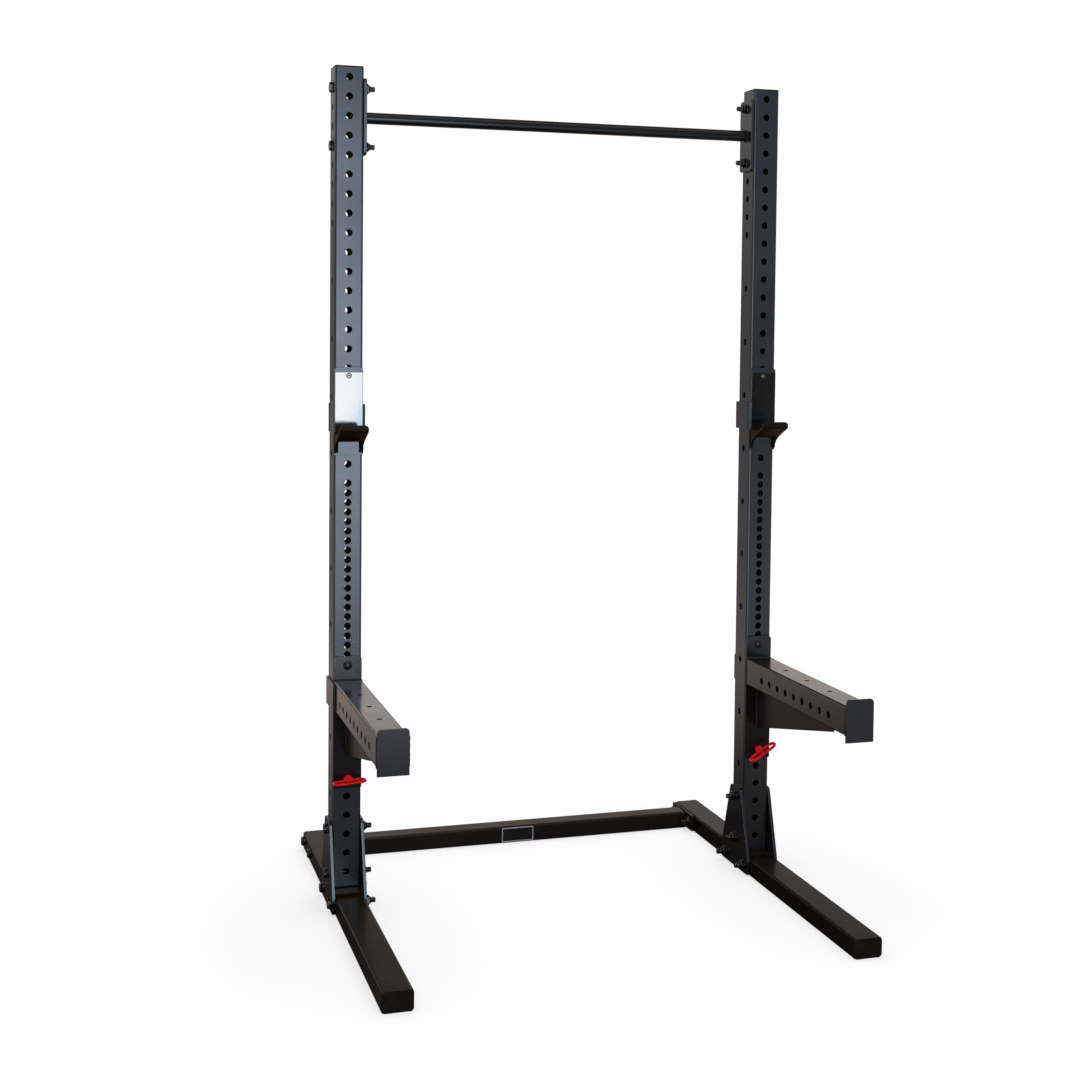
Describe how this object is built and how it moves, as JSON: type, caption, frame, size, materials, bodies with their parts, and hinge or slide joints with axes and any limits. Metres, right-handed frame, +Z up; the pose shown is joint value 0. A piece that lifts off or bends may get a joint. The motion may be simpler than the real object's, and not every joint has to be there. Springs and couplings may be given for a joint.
{
  "type": "half rack",
  "caption": "Free-standing half rack for barbell lifts: drilled uprights on long feet, pull-up bar, swing-out J-cups, spotter arms and pull-out lock pins.",
  "frame": {"origin": "on the floor, at the middle of the footprint, midway between the two feet and between their front and rear ends", "axes": "+X to the right as seen from the front, +Y to the back, where the cross beam is, +Z up; the lifter and the spotter arms are on the -Y side"},
  "size_m": [1.2802, 1.184, 2.202],
  "materials": {
    "black_powder_coat": "satin black powder coat on steel",
    "black_plastic": "moulded black end caps",
    "black_steel": "black oxide steel bolts and pegs",
    "polished_steel": "polished stainless wear plate",
    "red_coat": "glossy red coating on the lock pins' handles"
  },
  "bodies": {
    "frame": {"left_upright": "black_powder_coat", "right_upright": "black_powder_coat", "left_upright_cap": "black_plastic", "right_upright_cap": "black_plastic", "left_foot_beam": "black_powder_coat", "right_foot_beam": "black_powder_coat", "left_foot_front_cap": "black_plastic", "right_foot_front_cap": "black_plastic", "left_foot_rear_cap": "black_plastic", "right_foot_rear_cap": "black_plastic", "left_outer_gusset": "black_powder_coat", "right_outer_gusset": "black_powder_coat", "left_inner_gusset": "black_powder_coat", "right_inner_gusset": "black_powder_coat", "left_saddle_plate": "black_powder_coat", "right_saddle_plate": "black_powder_coat", "left_upper_base_bolt": "black_steel", "right_upper_base_bolt": "black_steel", "left_lower_base_bolt": "black_steel", "right_lower_base_bolt": "black_steel", "left_front_foot_bolt": "black_steel", "right_front_foot_bolt": "black_steel", "left_rear_foot_bolt": "black_steel", "right_rear_foot_bolt": "black_steel", "rear_cross_beam": "black_powder_coat", "left_cross_beam_flange": "black_powder_coat", "right_cross_beam_flange": "black_powder_coat", "left_cross_front_bolt": "black_steel", "right_cross_front_bolt": "black_steel", "left_cross_rear_bolt": "black_steel", "right_cross_rear_bolt": "black_steel", "pull_up_bar": "black_powder_coat", "left_bar_flange": "black_powder_coat", "right_bar_flange": "black_powder_coat", "left_bar_upper_bolt": "black_steel", "right_bar_upper_bolt": "black_steel", "left_bar_lower_bolt": "black_steel", "right_bar_lower_bolt": "black_steel", "left_arm_mount_plate": "black_powder_coat", "right_arm_mount_plate": "black_powder_coat", "left_arm_peg": "black_steel", "right_arm_peg": "black_steel", "left_arm_beam": "black_powder_coat", "right_arm_beam": "black_powder_coat", "left_arm_end_plate": "black_powder_coat", "right_arm_end_plate": "black_powder_coat", "left_arm_brace": "black_powder_coat", "right_arm_brace": "black_powder_coat"},
    "left_j_cup": {"left_j_cup_plate": "black_powder_coat", "left_j_cup_cradle": "black_powder_coat", "left_j_cup_wear_plate": "polished_steel", "left_j_cup_peg": "black_steel"},
    "right_j_cup": {"right_j_cup_plate": "black_powder_coat", "right_j_cup_cradle": "black_powder_coat", "right_j_cup_wear_plate": "polished_steel", "right_j_cup_peg": "black_steel"},
    "left_lock_pin": {"left_lock_pin_shaft": "black_steel"},
    "right_lock_pin": {"right_lock_pin_shaft": "black_steel"},
    "left_pin_handle": {"left_lock_pin_handle": "red_coat"},
    "right_pin_handle": {"right_lock_pin_handle": "red_coat"}
  },
  "joints": [
    {"name": "left_j_cup_swing", "type": "hinge", "parent": "frame", "child": "left_j_cup", "pos_m": [-0.585, 0.114, 1.374], "axis": [0, -1, 0], "range_deg": [0, 90]},
    {"name": "right_j_cup_swing", "type": "hinge", "parent": "frame", "child": "right_j_cup", "pos_m": [0.585, 0.114, 1.374], "axis": [0, 1, 0], "range_deg": [0, 90]},
    {"name": "left_pin_pull", "type": "slide", "parent": "frame", "child": "left_lock_pin", "axis": [0, -1, 0], "range_m": [0, 0.1]},
    {"name": "right_pin_pull", "type": "slide", "parent": "frame", "child": "right_lock_pin", "axis": [0, -1, 0], "range_m": [0, 0.1]},
    {"name": "left_pin_turn", "type": "hinge", "parent": "left_lock_pin", "child": "left_pin_handle", "pos_m": [-0.585, 0.114, 0.349], "axis": [0, 1, 0], "continuous": true},
    {"name": "right_pin_turn", "type": "hinge", "parent": "right_lock_pin", "child": "right_pin_handle", "pos_m": [0.585, 0.114, 0.349], "axis": [0, 1, 0], "continuous": true}
  ]
}
